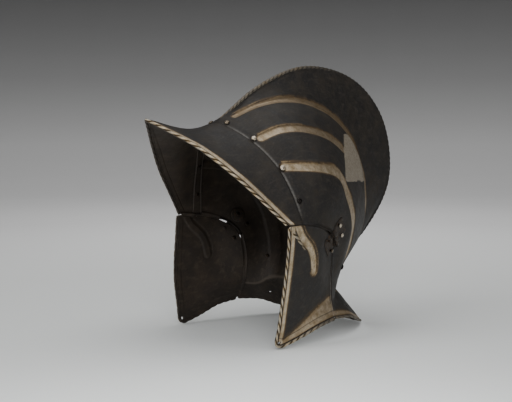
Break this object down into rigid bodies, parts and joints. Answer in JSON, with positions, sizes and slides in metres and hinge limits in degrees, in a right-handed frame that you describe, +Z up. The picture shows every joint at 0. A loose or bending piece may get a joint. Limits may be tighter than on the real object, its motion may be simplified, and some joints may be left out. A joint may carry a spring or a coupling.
{
  "type": "burgonet helmet",
  "caption": "Open steel helmet with a tall comb, pointed peak, flared nape and hinged cheekpieces, roped edges, black fields and bright bands",
  "frame": {"origin": "on the ground plane, under the middle of the helmet's box", "axes": "+Z up, -Y the way the wearer looks (peak), +X to the wearer's left"},
  "size_m": [0.1984, 0.362, 0.295],
  "materials": {
    "blackened_plate": "oil-blackened steel with bright polished bands and roped edges, worn",
    "bright_rivet": "polished round rivet head, aged",
    "dark_iron": "rough dark wrought iron"
  },
  "bodies": {
    "helmet": {"skull": "blackened_plate", "peak": "blackened_plate", "left_hinge_skull_leaf": "dark_iron", "left_hinge_pin": "dark_iron", "left_hinge_washer": "dark_iron", "left_peak_rivet_1": "bright_rivet", "left_peak_rivet_2": "bright_rivet", "left_peak_rivet_3": "bright_rivet", "left_peak_rivet_4": "blackened_plate", "left_nape_rivet": "blackened_plate", "left_hinge_skull_rivet_1": "bright_rivet", "left_hinge_skull_rivet_2": "bright_rivet", "right_hinge_skull_leaf": "dark_iron", "right_hinge_pin": "dark_iron", "right_hinge_washer": "dark_iron", "right_peak_rivet_1": "bright_rivet", "right_peak_rivet_2": "bright_rivet", "right_peak_rivet_3": "bright_rivet", "right_peak_rivet_4": "blackened_plate", "right_nape_rivet": "blackened_plate", "right_hinge_skull_rivet_1": "bright_rivet", "right_hinge_skull_rivet_2": "bright_rivet"},
    "left_cheek": {"left_cheekpiece": "blackened_plate", "left_hinge_cheek_leaf": "dark_iron", "left_hinge_cheek_rivet_1": "dark_iron", "left_hinge_cheek_rivet_2": "dark_iron"},
    "right_cheek": {"right_cheekpiece": "blackened_plate", "right_hinge_cheek_leaf": "dark_iron", "right_hinge_cheek_rivet_1": "dark_iron", "right_hinge_cheek_rivet_2": "dark_iron"}
  },
  "joints": [
    {"name": "left_cheek_hinge", "type": "hinge", "parent": "helmet", "child": "left_cheek", "pos_m": [0.08526, 0.00145, 0.10712], "axis": [0.406, -0.5724, 0.7124], "range_deg": [0, 85]},
    {"name": "right_cheek_hinge", "type": "hinge", "parent": "helmet", "child": "right_cheek", "pos_m": [-0.08526, 0.00145, 0.10712], "axis": [0.406, 0.5724, -0.7124], "range_deg": [0, 85]}
  ]
}
